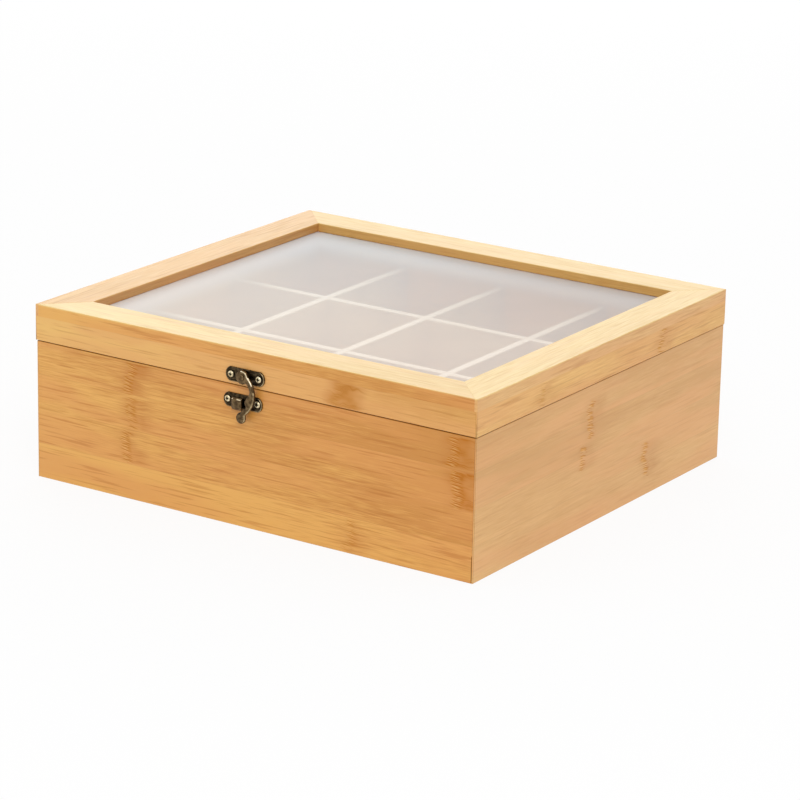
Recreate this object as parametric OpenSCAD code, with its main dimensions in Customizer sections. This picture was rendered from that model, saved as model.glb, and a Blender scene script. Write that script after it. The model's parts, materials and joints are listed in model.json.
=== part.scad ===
// Bamboo tea bag organizer box: mitred body, twelve compartments, windowed lid on two
// stop hinges, and a swing-hook latch. Millimetres, +Z up, front face towards -Y.
// The origin is the centre of the flat underside, in line with the lid's centre.

/* [Box] */
// Overall width, left to right, measured on the lid
box_w = 288; // [240:1:340]
// Overall depth of the boards, front to back, measured on the lid
box_d = 261; // [220:1:310]
// Overall height of the closed box
box_h = 100; // [90:1:130]
// Thickness of the body's walls and of the lid's rim boards
wall_t = 8.5; // [7:0.5:12]
// Width of the blunt mitre tip that a side board shows on the front and back
wall_tip = 0.6; // [0.3:0.1:1.5]
// Thickness of the bottom panel
bottom_t = 4; // [3:0.5:6]
// How far the bottom panel reaches into the walls
bottom_rebate = 4; // [2:0.5:5]

/* [Dividers] */
// Thickness of the dividers
div_t = 4.5; // [3:0.5:6]
// How far the dividers' tops lie below the body's rim
div_drop = 1; // [0.5:0.5:8]
// How far the dividers' ends reach into the walls
groove_d = 2; // [1:0.5:3]

/* [Lid] */
// Height of the lid, from the seam to the top face
lid_h = 21; // [19:0.5:30]
// Open seam between the body's rim and the lid
seam_gap = 0.4; // [0.2:0.1:0.8]
// How far the lid stands out past the body at the front and the sides
lid_over = 0.4; // [0.1:0.1:1]
// Thickness of the frame that surrounds the window
frame_t = 6.8; // [5:0.1:8]
// Width of the frame's rails
frame_w = 22.5; // [18:0.5:30]
// Width of the frame's blunt mitre tip that shows on the front and back
frame_tip = 1.8; // [0.5:0.1:3]
// Thickness of the clear pane
pane_t = 1.5; // [1.5:0.1:3]
// How far the pane reaches over the rim boards, in the frame's rebate
pane_lip = 4; // [2:0.5:5]

/* [Latch] */
// Place of the latch's pivot, left or right of the middle
latch_x = -1.7; // [-20:0.1:20]
// Height of the latch's pivot above the seam
latch_up = 6.1; // [5.5:0.1:7.5]
// Place of the latch plate's middle, left or right of the pivot
plate_side = 0.5; // [-0.5:0.1:1]
// Place of the catch plate's middle, left or right of the pivot
catch_side = -1.1; // [-2:0.1:0]
// Distance of the catch plate's middle below the pivot
catch_down = 14.1; // [13.5:0.1:15]
// Length of the latch's two plates
plate_w = 25.2; // [25:0.1:28]
// Radius of the plates' round ends
plate_r = 4.3; // [4:0.1:4.8]
// Height of the plates at their middle
plate_waist = 8; // [7:0.1:8.4]
// Thickness of the plates
plate_t = 1; // [0.8:0.1:1.2]
// Distance between the two screws of the latch plate
plate_screws = 18; // [17.5:0.1:19]
// Distance between the two screws of the catch plate
catch_screws = 19.4; // [19:0.1:20]
// Radius of the raised boss that carries the hook
boss_r = 3; // [2.5:0.1:3.5]
// Height of the boss above its plate
boss_h = 1.1; // [1:0.1:1.5]
// Radius of the rivet's shank
rivet_r = 1.2; // [1:0.1:1.4]
// Radius of the rivet's heads
rivet_head_r = 1.9; // [1.7:0.1:2.4]
// Height of the rivet's domed heads
rivet_head_h = 0.8; // [0.6:0.1:1.2]

/* [Hook] */
// Thickness of the swing hook
hook_t = 1.4; // [1.2:0.1:1.8]
// Radius of the round eye at the hook's top
eye_r = 3.9; // [3.7:0.1:4.2]
// Outer radius of the hook's curved arm
arm_out_r = 13.1; // [12.6:0.1:13.6]
// Inner radius of the hook's curved arm
arm_in_r = 9.6; // [9:0.1:10]
// Lean of the arm away from the box, in degrees
arm_lean = 4; // [3.5:0.5:6]
// Radius of the round finger tip at the hook's end
tip_r = 3.1; // [2.6:0.1:3.3]

/* [Catch] */
// Width of the catch's raised tongue
tongue_w = 7.9; // [7:0.1:8]
// Height of the tongue, bottom to top
tongue_h = 7.2; // [6:0.1:7.4]
// How far the tongue's face stands out from the body's front
tongue_out = 3.3; // [2.8:0.1:3.4]
// Distance of the tongue's free edge left of the pivot
tongue_side = 0.5; // [0.3:0.1:1]
// Distance of the tongue's middle below the pivot
tongue_down = 15.7; // [15.2:0.1:15.8]
// Thickness of the tongue's bent sheet
tongue_t = 1; // [0.8:0.1:1.2]

/* [Hinges] */
// Distance of each hinge from the box's middle
hinge_x = 82; // [60:1:95]
// Width of the hinge leaves
leaf_w = 26; // [22:0.5:32]
// Height of each leaf, from the hinge axis
leaf_h = 12.4; // [11.5:0.1:13]
// Thickness of the leaves
leaf_t = 1; // [0.8:0.1:1.2]
// Outer radius of the knuckles
knuckle_r = 2.35; // [2.1:0.05:2.5]
// Radius of the hinge pins
pin_r = 1.1; // [0.9:0.05:1.2]
// Distance from the back of the box to the hinge axis
axis_out = 2.7; // [2.7:0.05:3.2]
// Distance between a leaf's two screws
leaf_screws = 15; // [13:0.5:16]
// Height of the leaf screws above or below the hinge axis
leaf_screw_up = 8.4; // [7.8:0.1:9]
// Angle at which the stops hold the open lid, in degrees
lid_open = 105; // [90:1:120]
// Reach of the stop ears, from the hinge axis
ear_reach = 7.5; // [6:0.1:8]
// Thickness of the stop ears
ear_t = 1; // [0.8:0.1:1.4]

/* [Screws] */
// Radius of the screw heads
head_r = 1.85; // [1.6:0.05:2]
// Height of the screw heads
head_h = 0.9; // [0.7:0.05:1]
// Radius of the screws' shanks
shank_r = 0.8; // [0.6:0.05:0.95]
// Length of the screws below the head
screw_len = 6.5; // [5:0.1:7]
// Length of the cross recess in a screw head
cross_len = 2; // [1.6:0.1:2.4]
// Width of the cross recess's slots
cross_w = 0.5; // [0.3:0.05:0.7]
// Depth of the cross recess
cross_d = 0.6; // [0.3:0.05:0.7]

/* [Fits] */
// Clearance round the bottom panel
panel_fit = 0.2; // [0.1:0.05:0.4]
// Clearance on each side of a divider, in its grooves and laps
lap_fit = 0.12; // [0.05:0.01:0.3]
// Clearance past each end of a divider
end_fit = 0.2; // [0.1:0.05:0.4]
// Clearance round the pane's edge
pane_fit = 0.3; // [0.1:0.05:0.6]
// Clearance between the pane and the frame above it
pane_lift = 0.1; // [0.05:0.05:0.3]
// Clearance between a pin and the bore that turns on it
run_fit = 0.05; // [0.02:0.01:0.08]
// Clearance round a screw's shank or a rivet in the plate that it holds
hole_fit = 0.2; // [0.1:0.05:0.3]
// Clearance round a screw's shank in the wood
pilot_fit = 0.03; // [0.02:0.01:0.1]
// Clearance along the axis between pieces that turn past each other
side_fit = 0.3; // [0.1:0.05:0.4]
// Clearance between the hook and the boss or the rivet's head
hook_fit = 0.1; // [0.05:0.05:0.2]
// Clearance between a hinge pin's heads and the leaves' outer edges
head_fit = 0.1; // [0.05:0.05:0.3]
// Play between the hinges' stops when the lid is fully open, in degrees
stop_play = 3; // [2:0.5:5]

/* [Hidden] */
$fn = 48;
cross_count = 3;
long_count = 2;

body_h = box_h - lid_h;
body_lo = [-box_w / 2 + lid_over, -box_d / 2 + lid_over];
body_hi = [box_w / 2 - lid_over, box_d / 2];
lid_lo = [-box_w / 2, -box_d / 2];
lid_hi = [box_w / 2, box_d / 2];
wall = [wall_t, wall_t];
inner_lo = body_lo + wall;
inner_hi = body_hi - wall;
inner_size = inner_hi - inner_lo;
rim_z = body_h + seam_gap;
frame_z = box_h - frame_t;

div_top = body_h - div_drop;
div_mid = (bottom_t + div_top) / 2;
cell_w = (inner_size.x - cross_count * div_t) / (cross_count + 1);
cell_d = (inner_size.y - long_count * div_t) / (long_count + 1);
groove_w = div_t + 2 * lap_fit;

pivot_z = body_h + latch_up;
hook_back = plate_t + boss_h + hook_fit;
arm_out_mid = [-4.4, -9.6];
arm_in_mid = [-3.9, -9.8];
tip_mid = [0.5, -22.3];
eye_lap = 0.2;
tongue_ramp = 1.4;
screw_hole_r = shank_r + hole_fit;
pilot_r = shank_r + pilot_fit;
pilot_spare = 0.3;
rivet_hole_r = rivet_r + hole_fit;
rivet_tail_h = 0.8;

hinge_z = body_h + seam_gap / 2;
hinge_y = box_d / 2 + axis_out;
knuckle_w = (leaf_w - 2 * side_fit) / 3;
knuckle_step = knuckle_w + side_fit;
bore_r = pin_r + run_fit;
notch_spare = 0.1;
ear_spare = 0.75;
notch_h = knuckle_r + side_fit + notch_spare;
ear_in = knuckle_r + ear_spare;
ear_inset = 1.5;
ear_angle = (lid_open + stop_play) / 2;
pin_head_r = 1.9;
pin_head_h = 0.7;

bamboo = [0.85, 0.63, 0.36];
bamboo_rim = [0.87, 0.68, 0.42];
bamboo_frame = [0.96, 0.83, 0.60];
bamboo_inner = [0.91, 0.80, 0.64];
bronze = [0.30, 0.24, 0.17];
brass = [0.72, 0.60, 0.38];

// Middle of a cross divider, counted from the left
function cross_x(i) = inner_lo.x + (i + 1) * cell_w + (i + 0.5) * div_t;
// Middle of a long divider, counted from the front
function long_y(i) = inner_lo.y + (i + 1) * cell_d + (i + 0.5) * div_t;
// A point at a distance and an angle from the axis
function polar(r, angle) = [r * cos(angle), r * sin(angle)];

// Outline of one board of a mitred ring; the side boards keep blunt tips
module mitred_outline(side, lo, hi, w, tip) {
    if (side == "front")
        polygon([[lo.x + tip, lo.y], [hi.x - tip, lo.y], [hi.x - w, lo.y + w], [lo.x + w, lo.y + w]]);
    if (side == "back")
        polygon([[lo.x + tip, hi.y], [hi.x - tip, hi.y], [hi.x - w, hi.y - w], [lo.x + w, hi.y - w]]);
    if (side == "left")
        polygon([
            [lo.x, lo.y], [lo.x + tip, lo.y], [lo.x + w, lo.y + w],
            [lo.x + w, hi.y - w], [lo.x + tip, hi.y], [lo.x, hi.y]
        ]);
    if (side == "right")
        polygon([
            [hi.x, lo.y], [hi.x - tip, lo.y], [hi.x - w, lo.y + w],
            [hi.x - w, hi.y - w], [hi.x - tip, hi.y], [hi.x, hi.y]
        ]);
}

// A block from corner lo to corner hi at the heights z0 to z1
module block(lo, hi, z0, z1) {
    translate([lo.x, lo.y, z0]) cube([hi.x - lo.x, hi.y - lo.y, z1 - z0]);
}

// Places children on a front face: their X stays, their Y points up, their Z points outwards
module on_front(x, y, z) {
    translate([x, y, z]) rotate([90, 0, 0]) children();
}

// Places children on the back face in the same way, outwards being +Y
module on_back(x, z) {
    translate([x, box_d / 2, z]) rotate([-90, 0, 0]) children();
}

// A pilot hole in the wood for a screw that first passes a plate of thickness t
module pilot(t) {
    depth = screw_len - t + pilot_spare;
    translate([0, 0, -depth]) cylinder(r = pilot_r, h = depth + 1);
}

// Body boards

module grooved_wall(side) {
    difference() {
        linear_extrude(body_h) mitred_outline(side, body_lo, body_hi, wall_t, wall_tip);
        block(inner_lo - bottom_rebate * [1, 1], inner_hi + bottom_rebate * [1, 1], -1, bottom_t);
        if (side == "front" || side == "back")
            for (i = [0 : cross_count - 1]) {
                x = cross_x(i);
                reach = groove_d * [0, 1];
                half = groove_w / 2;
                block([x - half, inner_lo.y] - reach, [x + half, inner_hi.y] + reach, bottom_t, body_h + 1);
            }
        else
            for (i = [0 : long_count - 1]) {
                y = long_y(i);
                reach = groove_d * [1, 0];
                half = groove_w / 2;
                block([inner_lo.x, y - half] - reach, [inner_hi.x, y + half] + reach, bottom_t, body_h + 1);
            }
        children();
    }
}

module front_wall() {
    color(bamboo) grooved_wall("front") catch_screw_places() pilot(plate_t);
}

module back_wall() {
    color(bamboo) grooved_wall("back") leaf_screw_places(-1) pilot(leaf_t);
}

module left_wall() {
    color(bamboo) grooved_wall("left");
}

module right_wall() {
    color(bamboo) grooved_wall("right");
}

module bottom_panel() {
    reach = (bottom_rebate - panel_fit) * [1, 1];
    color(bamboo_inner) block(inner_lo - reach, inner_hi + reach, 0, bottom_t);
}

// Dividers, cross-lapped: the long ones are slotted from above, the cross ones from below

module long_divider(i) {
    reach = (groove_d - end_fit) * [1, 0];
    y = long_y(i);
    color(bamboo_inner) difference() {
        block([inner_lo.x, y - div_t / 2] - reach, [inner_hi.x, y + div_t / 2] + reach, bottom_t, div_top);
        for (k = [0 : cross_count - 1])
            translate([cross_x(k) - groove_w / 2, y - div_t, div_mid - lap_fit])
                cube([groove_w, 2 * div_t, body_h]);
    }
}

module cross_divider(i) {
    reach = (groove_d - end_fit) * [0, 1];
    x = cross_x(i);
    color(bamboo_inner) difference() {
        block([x - div_t / 2, inner_lo.y] - reach, [x + div_t / 2, inner_hi.y] + reach, bottom_t, div_top);
        for (k = [0 : long_count - 1])
            translate([x - div_t, long_y(k) - groove_w / 2, -1])
                cube([2 * div_t, groove_w, div_mid + lap_fit + 1]);
    }
}

// Lid boards: the pane lies on the rim boards, in a rebate of the frame's rails

module lid_rim(side) {
    color(bamboo_rim) difference() {
        translate([0, 0, rim_z]) linear_extrude(frame_z - rim_z)
            mitred_outline(side, lid_lo, lid_hi, wall_t, wall_tip);
        children();
    }
}

module lid_rim_front() {
    lid_rim("front") {
        latch_screw_places() pilot(plate_t);
        on_front(latch_x, -box_d / 2, pivot_z) translate([0, 0, -rivet_tail_h - side_fit])
            cylinder(r = rivet_head_r + side_fit, h = 2 * rivet_tail_h);
    }
}

module lid_rim_back() {
    lid_rim("back") leaf_screw_places(1) pilot(leaf_t);
}

module lid_frame(side) {
    reach = wall - pane_lip * [1, 1];
    color(bamboo_frame) difference() {
        translate([0, 0, frame_z]) linear_extrude(frame_t)
            mitred_outline(side, lid_lo, lid_hi, frame_w, frame_tip);
        block(lid_lo + reach, lid_hi - reach, frame_z - 1, frame_z + pane_t + pane_lift);
    }
}

module window_pane() {
    reach = wall - (pane_lip - pane_fit) * [1, 1];
    color([0.86, 0.87, 0.88, 0.4])
        block(lid_lo + reach, lid_hi - reach, frame_z, frame_z + pane_t);
}

// Screws, rivet and pins

// A low dome of the given radius and height, flat side down
module dome(r, h) {
    ball_r = (r * r + h * h) / (2 * h);
    rotate_extrude() intersection() {
        translate([0, h - ball_r]) circle(ball_r);
        square([r, h]);
    }
}

// A cross-head wood screw, its head's underside at the origin
module screw() {
    point_h = 2 * shank_r;
    point_r = shank_r / 5;
    difference() {
        union() {
            dome(head_r, head_h);
            translate([0, 0, point_h - screw_len]) cylinder(r = shank_r, h = screw_len - point_h);
            translate([0, 0, -screw_len]) cylinder(r1 = point_r, r2 = shank_r, h = point_h);
        }
        for (turn = [0, 90])
            rotate([0, 0, turn]) translate([-cross_len / 2, -cross_w / 2, head_h - cross_d])
                cube([cross_len, cross_w, cross_d + 1]);
    }
}

// The two places of the lid plate's screws, at the lid's front face
module latch_screw_places() {
    for (s = [-1, 1])
        on_front(latch_x + plate_side + s * plate_screws / 2, -box_d / 2, pivot_z) children();
}

// The two places of the catch plate's screws, at the body's front face
module catch_screw_places() {
    for (s = [-1, 1])
        on_front(latch_x + catch_side + s * catch_screws / 2, body_lo.y, pivot_z - catch_down)
            children();
}

// The four places of a leaf's screws on both hinges: level 1 for the lid, -1 for the body
module leaf_screw_places(level) {
    for (s = [-1, 1], t = [-1, 1])
        on_back(s * hinge_x + t * leaf_screws / 2, hinge_z + level * leaf_screw_up) children();
}

module latch_plate_screws() {
    color(brass) latch_screw_places() translate([0, 0, plate_t]) screw();
}

module catch_plate_screws() {
    color(brass) catch_screw_places() translate([0, 0, plate_t]) screw();
}

module hinge_body_screws() {
    color(brass) leaf_screw_places(-1) translate([0, 0, leaf_t]) screw();
}

module hinge_lid_screws() {
    color(brass) leaf_screw_places(1) translate([0, 0, leaf_t]) screw();
}

// Latch

// Outline of a latch plate: two round ends joined by a slightly narrower middle
module plate_outline(spacing) {
    half = plate_w / 2 - plate_r;
    difference() {
        union() {
            for (s = [-1, 1]) translate([s * half, 0]) circle(plate_r);
            square([2 * half, plate_waist], center = true);
        }
        for (s = [-1, 1]) translate([s * spacing / 2, 0]) circle(screw_hole_r);
    }
}

module latch_plate() {
    color(bronze) on_front(latch_x, -box_d / 2, pivot_z) difference() {
        union() {
            translate([plate_side, 0, 0]) linear_extrude(plate_t) plate_outline(plate_screws);
            cylinder(r = boss_r, h = plate_t + boss_h);
        }
        translate([0, 0, -1]) cylinder(r = rivet_hole_r, h = plate_t + boss_h + 2);
    }
}

module latch_rivet() {
    grip = hook_back + hook_t + hook_fit;
    color(bronze) on_front(latch_x, -box_d / 2, pivot_z) {
        translate([0, 0, -rivet_tail_h]) cylinder(r = rivet_head_r, h = rivet_tail_h);
        cylinder(r = rivet_r, h = grip);
        translate([0, 0, grip]) dome(rivet_head_r, rivet_head_h);
    }
}

// Outline of the hook's arm, with the pivot at the origin
module arm_outline() {
    difference() {
        intersection() {
            translate(arm_out_mid) circle(arm_out_r);
            translate([tip_mid.x, arm_out_mid.y - arm_out_r]) square(2 * arm_out_r);
        }
        translate(arm_in_mid) circle(arm_in_r);
        circle(eye_r - eye_lap);
    }
    polygon([[6, -7.6], [4.6, -9.2], [2.4, -13], [2.4, -14.2], [3.6, -15.6], [6, -16]]);
    translate(tip_mid) circle(tip_r);
}

module swing_hook() {
    color(bronze) on_front(latch_x, -box_d / 2, pivot_z) translate([0, 0, hook_back]) difference() {
        union() {
            cylinder(r = eye_r, h = hook_t);
            rotate([-arm_lean, 0, 0]) linear_extrude(hook_t) arm_outline();
        }
        translate([0, 0, -1]) cylinder(r = rivet_r + run_fit, h = hook_t + 2);
    }
}

module catch_plate() {
    free_x = -tongue_side - catch_side;
    root_x = free_x - tongue_w;
    ramp_x = root_x + tongue_ramp;
    back_z = tongue_out - tongue_t;
    middle_z = catch_down - tongue_down;
    color(bronze) on_front(latch_x + catch_side, body_lo.y, pivot_z - catch_down) {
        linear_extrude(plate_t) plate_outline(catch_screws);
        translate([0, middle_z + tongue_h / 2, 0]) rotate([90, 0, 0]) linear_extrude(tongue_h)
            polygon([
                [root_x, plate_t / 2], [ramp_x, tongue_out], [free_x, tongue_out], [free_x, back_z],
                [ramp_x + tongue_t / 2, back_z], [ramp_x, plate_t / 2]
            ]);
    }
}

// Hinges, drawn round the axis: level 1 is the lid's leaf, -1 the body's

module knuckle(i) {
    translate([i * knuckle_step - knuckle_w / 2, 0, 0]) rotate([0, 90, 0]) difference() {
        cylinder(r = knuckle_r, h = knuckle_w);
        translate([0, 0, -1]) cylinder(r = bore_r, h = knuckle_w + 2);
    }
}

// Stop ear: its slanted edge meets the other leaf's ear when the lid is fully open
module stop_ear(level) {
    root_y = leaf_t / 2 - axis_out;
    inner = polar(ear_in, ear_angle);
    outer = polar(ear_reach, ear_angle);
    rotate([90, 0, 90]) linear_extrude(ear_t)
        polygon([
            [root_y, level * ear_in], [inner.x, level * inner.y],
            [outer.x, level * outer.y], [root_y, level * (leaf_h - ear_inset)]
        ]);
}

module leaf(level) {
    low = level > 0 ? side_fit : -leaf_h;
    own = level > 0 ? [0] : [-1, 1];
    other = level > 0 ? [-1, 1] : [0];
    difference() {
        translate([-leaf_w / 2, -axis_out, low]) cube([leaf_w, leaf_t, leaf_h - side_fit]);
        for (i = other)
            translate([i * knuckle_step - knuckle_w / 2 - side_fit, -axis_out - 1, -notch_h])
                cube([knuckle_w + 2 * side_fit, leaf_t + 2, 2 * notch_h]);
        for (s = [-1, 1])
            translate([s * leaf_screws / 2, 0, level * leaf_screw_up]) rotate([90, 0, 0])
                cylinder(r = screw_hole_r, h = 4 * axis_out, center = true);
    }
    for (i = own) knuckle(i);
    translate([-leaf_w / 2, 0, 0]) stop_ear(level);
    translate([leaf_w / 2 - ear_t, 0, 0]) stop_ear(level);
}

module hinge_leaf(side, level) {
    color(bronze) translate([side * hinge_x, hinge_y, hinge_z]) leaf(level);
}

module hinge_pin(side) {
    half = leaf_w / 2 + head_fit;
    color(brass) translate([side * hinge_x, hinge_y, hinge_z]) rotate([0, 90, 0]) {
        cylinder(r = pin_r, h = 2 * half, center = true);
        translate([0, 0, half]) dome(pin_head_r, pin_head_h);
        translate([0, 0, -half]) rotate([180, 0, 0]) dome(pin_head_r, pin_head_h);
    }
}

front_wall();
back_wall();
left_wall();
right_wall();
bottom_panel();
long_divider(0);  // long_divider_front
long_divider(1);  // long_divider_rear
cross_divider(0);  // cross_divider_left
cross_divider(1);  // cross_divider_middle
cross_divider(2);  // cross_divider_right
lid_rim_front();
lid_rim_back();
lid_rim("left");  // lid_rim_left
lid_rim("right");  // lid_rim_right
lid_frame("front");  // lid_frame_front
lid_frame("back");  // lid_frame_back
lid_frame("left");  // lid_frame_left
lid_frame("right");  // lid_frame_right
window_pane();
latch_plate();
latch_plate_screws();
latch_rivet();
swing_hook();
catch_plate();
catch_plate_screws();
hinge_leaf(-1, -1);  // hinge_left_body_leaf
hinge_leaf(1, -1);  // hinge_right_body_leaf
hinge_leaf(-1, 1);  // hinge_left_lid_leaf
hinge_leaf(1, 1);  // hinge_right_lid_leaf
hinge_pin(-1);  // hinge_left_pin
hinge_pin(1);  // hinge_right_pin
hinge_body_screws();
hinge_lid_screws();
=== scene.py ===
"""Tea bag organizer box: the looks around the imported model. Metres, +Z up, front towards -Y."""

import json
import math

import bmesh
import bpy
from mathutils import Matrix, Vector
from mathutils.bvhtree import BVHTree
from mathutils.geometry import delaunay_2d_cdt

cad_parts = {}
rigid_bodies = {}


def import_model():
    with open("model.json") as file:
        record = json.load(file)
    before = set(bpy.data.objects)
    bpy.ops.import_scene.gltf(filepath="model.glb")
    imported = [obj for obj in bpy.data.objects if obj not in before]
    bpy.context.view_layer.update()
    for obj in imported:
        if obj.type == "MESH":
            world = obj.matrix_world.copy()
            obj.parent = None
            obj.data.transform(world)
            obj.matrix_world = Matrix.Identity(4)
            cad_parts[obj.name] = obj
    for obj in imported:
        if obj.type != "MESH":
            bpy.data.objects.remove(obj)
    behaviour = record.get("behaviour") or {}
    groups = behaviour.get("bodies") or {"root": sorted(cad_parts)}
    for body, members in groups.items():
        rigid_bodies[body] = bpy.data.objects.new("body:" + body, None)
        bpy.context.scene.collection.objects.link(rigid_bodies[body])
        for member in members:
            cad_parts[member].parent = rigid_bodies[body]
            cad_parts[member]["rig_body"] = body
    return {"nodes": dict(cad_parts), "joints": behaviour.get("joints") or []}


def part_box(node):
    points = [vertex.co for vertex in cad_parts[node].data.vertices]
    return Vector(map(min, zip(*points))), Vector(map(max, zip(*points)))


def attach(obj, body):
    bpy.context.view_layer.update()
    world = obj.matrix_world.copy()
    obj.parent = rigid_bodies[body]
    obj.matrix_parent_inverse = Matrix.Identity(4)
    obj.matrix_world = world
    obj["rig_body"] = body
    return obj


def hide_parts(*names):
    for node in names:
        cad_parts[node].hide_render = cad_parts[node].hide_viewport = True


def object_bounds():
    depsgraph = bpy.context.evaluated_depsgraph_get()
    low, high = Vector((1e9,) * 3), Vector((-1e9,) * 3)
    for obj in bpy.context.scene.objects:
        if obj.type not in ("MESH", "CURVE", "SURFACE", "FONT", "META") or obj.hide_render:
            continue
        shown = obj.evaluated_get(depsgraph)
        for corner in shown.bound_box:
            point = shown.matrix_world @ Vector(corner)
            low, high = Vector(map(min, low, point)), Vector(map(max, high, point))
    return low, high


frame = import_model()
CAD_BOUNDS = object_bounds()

MM = 0.001
AXES = ("X", "Y", "Z")
NODES = frame["nodes"]
TOP = CAD_BOUNDS[1][2]
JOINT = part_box("lid_frame_front")[0].z
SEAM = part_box("front_wall")[1].z
HALF_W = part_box("lid_rim_right")[1].x
HALF_D = -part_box("lid_rim_front")[0].y

# Eased edges: walls and lid boards, then dividers, bottom and pane, then hinge leaves
BOARD_EASE = 0.35 * MM
THIN_EASE = 0.25 * MM
LEAF_EASE = 0.2 * MM
EASE_SEGMENTS = 2

# How dark the painted shade is on the arrises beside the gap between lid and body
FRONT_GAP_SHADE = 0.6
SIDE_GAP_SHADE = 0.25

# Latch, hinges and screws, in millimetres as the CAD has them
PLATE_W, PLATE_R, PLATE_WAIST, PLATE_T = 25.2, 4.3, 8.0, 1.0
PLATE_STEPS = 24
BOSS_R, BOSS_H = 3.0, 1.1
TONGUE_W, TONGUE_H, TONGUE_T = 7.9, 7.2, 1.0
TONGUE_SIDE, TONGUE_DOWN = 0.5, 15.7
HEAD_R, HEAD_H = 1.85, 0.9
LEAF_W = 26.0
HOOK_OUT, HOOK_T, TIP_R = 3.6, 1.4, 3.1

# How far the hook's arm leans out below its pivot
HOOK_LEAN = math.radians(4)

# The hook's points, in millimetres: their spacing along the outline, the rows close inside it, and
# the grid further in, with the shift of its odd rows and how far from the outline it begins
HOOK_STEP = 0.35
HOOK_ROWS = (0.05, 0.15, 0.3, 0.5, 0.75, 1.05)
HOOK_CELL, HOOK_SHIFT, HOOK_CORE = 0.33, 0.16, 1.2

# Points round a turned or drilled ring
RING_STEPS = 48

# Material slots of the latch plates and of the hook. rubbed is a painted highlight on the plates'
# border and the hook's lower right edge, bright a painted highlight on the hook's upper outline and
# the tongue's upper edge, and black the plates' dark floor and painted shade on the left of the hook's ball
PLATE_FINISHES = ("black", "rubbed_and_highlit", "bronze", "bright")
HOOK_FINISHES = ("bronze", "rubbed_and_highlit", "bright", "black")

# A knuckle's teeth: their rise along the board, and their waves to the metre
SLANT = 0.12
TEETH = (130, 1200, 60)

# Bamboo colours, as sRGB values from 0 to 255
PITH_AND_HIGHLIGHT = (250, 206, 132)
GLUE_AND_GAP_SHADE = (104, 58, 16)
# HONEY goes on the boards facing front and back, and STRAW on the sides, which are painted paler for how the
# light and sheen fall on them
HONEY = {"pale": (231, 173, 84), "deep": (202, 135, 50), "rosy": (221, 151, 74), "line": (168, 88, 24)}
STRAW = {"pale": (232, 184, 114), "deep": (209, 155, 86), "rosy": (228, 167, 102), "line": (186, 116, 58)}
BLOND = {"pale": (235, 186, 102), "deep": (211, 151, 70), "rosy": (224, 160, 90), "line": (170, 104, 40)}
# CREAM is painted light and sheen on the frame rails' upper faces
CREAM = {"pale": (244, 213, 138), "deep": (227, 188, 108), "rosy": (241, 200, 130), "line": (206, 156, 84)}
# WHEAT is painted light on the back rail's shaded edges, and a less pale painted upper face on the left rail
WHEAT = {"pale": (241, 196, 117), "deep": (221, 171, 92), "rosy": (236, 184, 108), "line": (188, 124, 62)}
# INNER is the dividers' sides, painted darker for the shade inside the compartments
INNER = {"pale": (228, 192, 142), "deep": (208, 168, 116), "rosy": (220, 176, 128), "line": (172, 126, 76)}
BIRCH = {"pale": (246, 218, 170), "deep": (234, 198, 146), "rosy": (242, 206, 156), "line": (206, 160, 108)}
# CHALK is the dividers' upper edges: partly their pale sanded edge, partly painted light
CHALK = {"pale": (255, 237, 207), "deep": (246, 218, 180), "rosy": (252, 226, 192), "line": (220, 184, 136)}


def linear(colour):
    """An sRGB colour, 0 to 255, as the linear RGBA that a shader takes."""
    parts = [c / 255 for c in colour]
    return [p / 12.92 if p <= 0.04045 else ((p + 0.055) / 1.055) ** 2.4 for p in parts] + [1.0]


class Graph:
    """A node tree, with short ways to add and join its nodes."""

    def __init__(self, tree):
        self.tree = tree
        tree.nodes.clear()

    def put(self, socket, value):
        if isinstance(value, bpy.types.NodeSocket):
            self.tree.links.new(value, socket)
        else:
            socket.default_value = value

    def add(self, kind, inputs=None, **settings):
        node = self.tree.nodes.new(kind)
        for key, value in settings.items():
            setattr(node, key, value)
        for key, value in (inputs or {}).items():
            self.put(node.inputs[key], value)
        return node

    def math(self, operation, *values):
        node = self.add("ShaderNodeMath", operation=operation)
        for socket, value in zip(node.inputs, values):
            self.put(socket, value)
        return node.outputs[0]

    def ramp(self, value, start, end, low=0.0, high=1.0):
        """value taken smoothly from start..end to low..high."""
        inputs = {"Value": value, "From Min": start, "From Max": end, "To Min": low, "To Max": high}
        return self.add("ShaderNodeMapRange", inputs, interpolation_type="SMOOTHSTEP").outputs[0]

    def near(self, distance, reach):
        """1 where distance is nothing, falling to 0 at reach on either side."""
        return self.ramp(self.math("ABSOLUTE", distance), 0.0, reach, 1.0, 0.0)

    def mix(self, factor, first, second):
        """first where factor is 0, second where it is 1."""
        node = self.add("ShaderNodeMix", data_type="RGBA")
        for index, value in ((0, factor), (6, first), (7, second)):
            self.put(node.inputs[index], value)
        return node.outputs[2]

    def join(self, x, y, z):
        return self.add("ShaderNodeCombineXYZ", {"X": x, "Y": y, "Z": z}).outputs[0]

    def noise(self, vector, scale, detail=2.0, roughness=0.5, shift=0.0):
        """Noise with its own number of waves to the metre along each axis."""
        placed = self.add("ShaderNodeMapping", {"Vector": vector, "Location": [shift] * 3, "Scale": scale})
        inputs = {"Vector": placed.outputs[0], "Scale": 1.0, "Detail": detail, "Roughness": roughness}
        return self.add("ShaderNodeTexNoise", inputs).outputs["Fac"]


def new_material(name):
    """A material with an empty graph, and its output's surface socket."""
    material = bpy.data.materials.new(name)
    material.use_nodes = True
    graph = Graph(material.node_tree)
    return material, graph, graph.add("ShaderNodeOutputMaterial").inputs["Surface"]


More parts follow.
